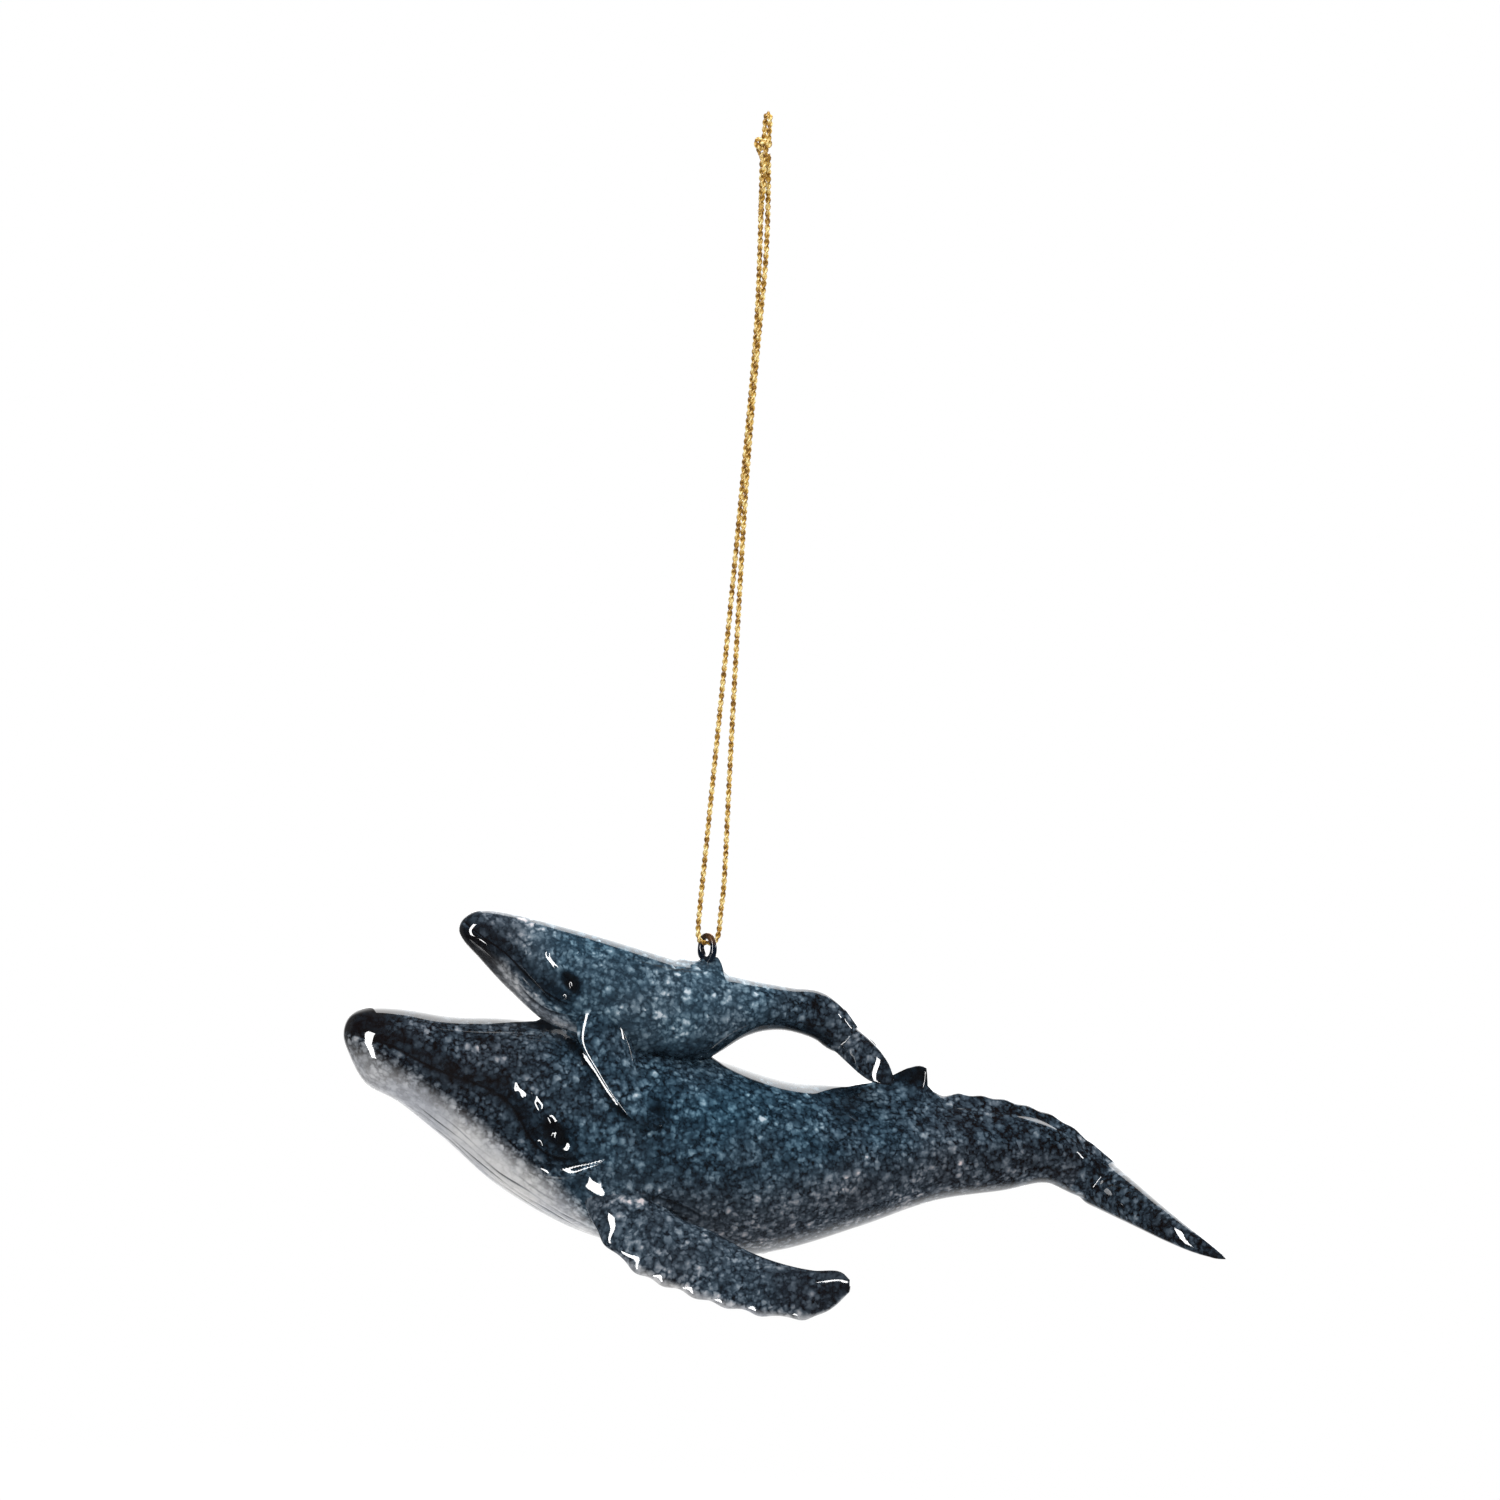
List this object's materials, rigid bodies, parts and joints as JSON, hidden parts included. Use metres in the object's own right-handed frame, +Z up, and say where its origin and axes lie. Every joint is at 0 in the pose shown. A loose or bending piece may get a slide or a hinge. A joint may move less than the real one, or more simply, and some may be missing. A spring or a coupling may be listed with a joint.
{
  "type": "hanging whale ornament",
  "caption": "Hanging ornament of a humpback whale with its calf on its back, in glossy speckled resin, on a gold cord loop through a wire eye.",
  "frame": {"origin": "inside of the small top loop of the cord, where a hook carries it", "axes": "+Z up along the plumb cord, noses towards -X, left sides towards -Y"},
  "size_m": [0.1288, 0.0522, 0.1703],
  "materials": {
    "lacquered_resin": "speckled navy paint under clear gloss lacquer",
    "eye_wire": "dark paint, worn to bare brown metal at the top",
    "gold_cord": "twisted metallic gold thread"
  },
  "bodies": {
    "hanger": {"cord_knot": "gold_cord", "cord_top_loop": "gold_cord"},
    "cord": {"hanging_cord": "gold_cord", "cord_tails": "gold_cord"},
    "ornament": {"mother_body": "lacquered_resin", "mother_left_flipper": "lacquered_resin", "mother_right_flipper": "lacquered_resin", "mother_flukes": "lacquered_resin", "calf_body": "lacquered_resin", "calf_left_flipper": "lacquered_resin", "calf_right_flipper": "lacquered_resin", "calf_flukes": "lacquered_resin", "screw_eye": "eye_wire"}
  },
  "joints": [
    {"name": "cord_twist", "type": "hinge", "parent": "hanger", "child": "cord", "pos_m": [0, 0, -0.0057], "axis": [0, 0, 1], "range_deg": [-180, 180]},
    {"name": "ornament_tilt", "type": "hinge", "parent": "cord", "child": "ornament", "pos_m": [0, 0, -0.119], "axis": [0.4226, -0.9063, 0], "range_deg": [-60, 60]}
  ]
}
